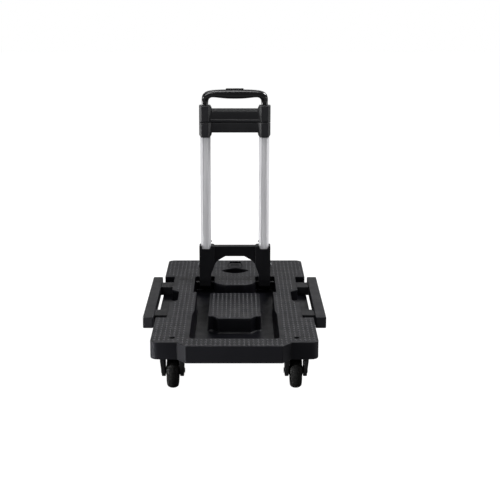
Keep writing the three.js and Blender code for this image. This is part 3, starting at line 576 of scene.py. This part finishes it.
def superellipse(count, power):
    """Unit outline points of a rounded square."""
    points = []
    for k in range(count):
        c, s = math.cos(2 * math.pi * k / count), math.sin(2 * math.pi * k / count)
        points.append((
            math.copysign(abs(c) ** (2 / power), c),
            math.copysign(abs(s) ** (2 / power), s),
        ))
    return points


# The grip seen from the front: half of its outline in (x, z) millimetres, from the middle out.
GRIP_OUTER = [
    (0, 503.2), (22.9, 502.9), (42, 502.0), (53.7, 500.4), (61.2, 497.4), (66.2, 492.4),
    (68.2, 485.6), (68.4, 479), (68.2, 471.2),
]
GRIP_INNER = [
    (0, 484.0), (16, 484.4), (30, 485.6), (41, 486.8), (48.5, 486.6), (52.4, 484.2),
    (54.3, 480.6), (54.8, 476), (54.9, 471.2),
]
GRIP_STATIONS = 34
GRIP_SECTION = (28, 2.9)
GRIP_MIDDLE_Y = 150.5
GRIP_HALF_DEPTH, LEG_THINNER = 10.4, 3.6
LEG_TOP, LEG_BLEND = 488, 9
ROOM_LOW = 490.2
BUTTON_ROOM = (-18.9, 146.1, ROOM_LOW), (18.9, 154.9, 520)
YOKE_ROOM = (-62.4, 147.1, ROOM_LOW), (62.4, 153.9, 496.6)


def grip():
    """The arched grip: a rounded bar with a belly, swept from one leg over to the other."""
    outer = smooth_line(GRIP_OUTER, GRIP_STATIONS)
    inner = smooth_line(GRIP_INNER, GRIP_STATIONS)
    half = list(zip(outer, inner))
    mirrored = [(Vector((-o.x, o.y)), Vector((-i.x, i.y))) for o, i in half[:0:-1]]
    outline = superellipse(*GRIP_SECTION)
    points, faces = [], []
    stations = mirrored + half
    for o, i in stations:
        middle, reach = (o + i) / 2, (o - i) / 2
        leg = min(1.0, max(0.0, (LEG_TOP - middle.y) / LEG_BLEND))
        depth = GRIP_HALF_DEPTH - LEG_THINNER * leg
        for u, v in outline:
            x, z = middle + reach * u
            points.append((x * MM, (GRIP_MIDDLE_Y + depth * v) * MM, z * MM))
    count = len(outline)
    for k in range(len(stations) - 1):
        for n in range(count):
            nxt = (n + 1) % count
            start, end = k * count, (k + 1) * count
            faces.append((start + n, start + nxt, end + nxt, end + n))
    faces.append(tuple(range(count)))
    faces.append(tuple(reversed(range(len(points) - count, len(points)))))
    piece = linked("grip_handle", mesh_from("grip_handle", points, faces))
    outward(piece.data)
    cut(piece, [box_mesh("button_room", *BUTTON_ROOM), box_mesh("yoke_room", *YOKE_ROOM)])
    flat_faced(piece, 35)
    finished(piece, NODE_BODY["grip"], GRIP, ["grip"])


grip()
rounded_edges("grip_button", 0.9 * MM, 3)

# ---------------------------------------------------------------- casters

# Tyre sizes in millimetres: cross grooves on both shoulders, a bore, and a crowned tread.
TYRE_STEPS = 96
TREAD_EVERY = 4
TREAD_DEPTH = 1.1
TREAD_FROM = 0.35
TYRE_BORE = 22.3
TYRE_LIP = 1.2
CROWN_STEPS = 12
CROWN_DROP, CROWN_POWER = 7.2, 0.9


def tyre(corner):
    """A crowned tyre with grooves cut across both of its shoulders."""
    low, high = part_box(f"wheel_tyre_{corner}")
    centre = (low + high) / 2
    radius = (high.z - low.z) / 2 / MM
    half = (high.x - low.x) / 2 / MM
    crown = []
    for k in range(CROWN_STEPS + 1):
        turn = math.pi * k / CROWN_STEPS
        across = -half * math.cos(turn)
        drop = CROWN_DROP * (1 - math.sin(turn) ** CROWN_POWER)
        crown.append((radius - drop, across))
    profile = [(TYRE_BORE, -half + TYRE_LIP), *crown, (TYRE_BORE, half - TYRE_LIP)]
    count = len(profile)
    points, faces = [], []
    for k in range(TYRE_STEPS):
        turn = 2 * math.pi * k / TYRE_STEPS
        for r, across in profile:
            shoulder = TREAD_FROM * half < abs(across) < half and r > TYRE_BORE + 1
            groove = (k + (TREAD_EVERY // 2 if across > 0 else 0)) % TREAD_EVERY == 0
            reach = r - TREAD_DEPTH if shoulder and groove else r
            points.append((
                centre.x + across * MM,
                centre.y + reach * MM * math.cos(turn),
                centre.z + reach * MM * math.sin(turn),
            ))
    for k in range(TYRE_STEPS):
        after = (k + 1) % TYRE_STEPS
        for n in range(count):
            nxt = (n + 1) % count
            start, end = k * count, after * count
            faces.append((start + n, start + nxt, end + nxt, end + n))
    piece = linked(f"tyre_{corner}", mesh_from(f"tyre_{corner}", points, faces))
    outward(piece.data)
    smooth(piece.data, 30)
    node = f"wheel_tyre_{corner}"
    finished(piece, NODE_BODY[node], RUBBER, [node])


def caster(corner):
    """One swivel caster: fork, axle, kingpin, hub and tyre."""
    rounded_edges(f"caster_fork_{corner}", 1.1 * MM, 3)
    # The axle and kingpin take the near-black steel, painted shade for the fork and its holes.
    rounded_edges(f"caster_axle_{corner}", 0.3 * MM, material=POCKET_SHADE_STEEL)
    rounded_edges(f"caster_kingpin_{corner}", 0.4 * MM, material=POCKET_SHADE_STEEL)
    rounded_edges(f"wheel_hub_{corner}", 0.5 * MM)
    tyre(corner)


for corner_name in CORNERS:
    caster(corner_name)


# ---------------------------------------------------------------- studio


def seen_or_cast(tree, seen, cast):
    """One strength as the background looks, another for the light that it gives."""
    rays = tree.nodes.new("ShaderNodeLightPath")
    strength = tree.nodes.new("ShaderNodeMapRange")
    strength.inputs["To Min"].default_value = cast
    strength.inputs["To Max"].default_value = seen
    tree.links.new(rays.outputs["Is Camera Ray"], strength.inputs["Value"])
    return strength.outputs["Result"]


FLOOR_HALF = 9.0
FLOOR_BASE = 0.12
SEEN = 1.0
FLOOR_CAST, AIR_CAST = 0.05, 0.04


def studio():
    """A pale floor that runs out to the white surroundings."""
    half = FLOOR_HALF
    corners = [(-half, -half, 0), (half, -half, 0), (half, half, 0), (-half, half, 0)]
    floor = linked("studio_floor", mesh_from("studio_floor", corners, [(0, 1, 2, 3)]))
    material, tree, surface = shader("white_paper")
    surface.inputs["Base Color"].default_value = (FLOOR_BASE, FLOOR_BASE, FLOOR_BASE, 1.0)
    surface.inputs["Roughness"].default_value = 0.9
    surface.inputs["Specular IOR Level"].default_value = 0.1
    surface.inputs["Emission Color"].default_value = (1.0, 1.0, 1.0, 1.0)
    tree.links.new(seen_or_cast(tree, SEEN, FLOOR_CAST), surface.inputs["Emission Strength"])
    floor.data.materials.append(material)


def softbox(name, place, target, size, power, spread=180):
    """A rectangular lamp in watts that faces its target, its spread in degrees."""
    light = bpy.data.lights.new(name, "AREA")
    light.shape = "RECTANGLE"
    light.size, light.size_y = size
    light.energy = power
    light.spread = math.radians(spread)
    lamp = bpy.data.objects.new(name, light)
    bpy.context.scene.collection.objects.link(lamp)
    lamp.location = place
    aim = Vector(target) - Vector(place)
    lamp.rotation_euler = aim.to_track_quat("-Z", "Y").to_euler()


def surroundings():
    """A world that looks white behind the cart and lights it only gently."""
    world = bpy.data.worlds.new("studio_air")
    world.use_nodes = True
    tree = world.node_tree
    background = tree.nodes["Background"]
    background.inputs["Color"].default_value = (1, 1, 1, 1)
    tree.links.new(seen_or_cast(tree, SEEN, AIR_CAST), background.inputs["Strength"])
    bpy.context.scene.world = world


def lights():
    """Key, top and front boxes for the broad light, low side boxes for the front edges."""
    softbox("key_softbox", (1.35, 0.35, 1.75), (0.05, 0, 0.15), (0.6, 0.6), 42)
    softbox("top_softbox", (-0.25, -0.35, 2.3), (0, -0.05, 0.1), (1.5, 0.7), 17)
    softbox("left_softbox", (-1.7, -0.35, 0.16), (0, -0.2, 0.12), (0.9, 0.28), 11)
    softbox("corner_softbox", (-1.3, -0.6, 0.09), (-0.15, -0.29, 0.085), (0.4, 0.16), 0.65, 24)
    softbox("right_softbox", (1.7, -0.5, 0.16), (0.1, -0.2, 0.12), (0.6, 0.25), 3.5)
    softbox("front_softbox", (-1.1, -3.0, 2.0), (0, 0.1, 0.3), (1.4, 0.8), 27)
    softbox("rear_softbox", (0.0, 2.6, 1.3), (0, 0, 0.1), (2.6, 0.7), 7)
    surroundings()
    bpy.context.scene.view_settings.view_transform = "Standard"


CAMERA_PLACE = (0.006, -2.1894, DECK_TOP + 0.6295)
CAMERA_TILT = 13.63
CAMERA_LENS = 81.35
CAMERA_SENSOR = 36
CAMERA_SHIFT = 0.0246


def camera():
    """The photo's viewpoint: in front of the cart and a little above it."""
    data = bpy.data.cameras.new("photo_view")
    data.lens = CAMERA_LENS
    data.sensor_width = CAMERA_SENSOR
    data.shift_x = CAMERA_SHIFT
    lens = bpy.data.objects.new("photo_view", data)
    bpy.context.scene.collection.objects.link(lens)
    lens.location = CAMERA_PLACE
    lens.rotation_euler = (math.radians(90 - CAMERA_TILT), 0, 0)
    bpy.context.scene.camera = lens


studio()
lights()
camera()
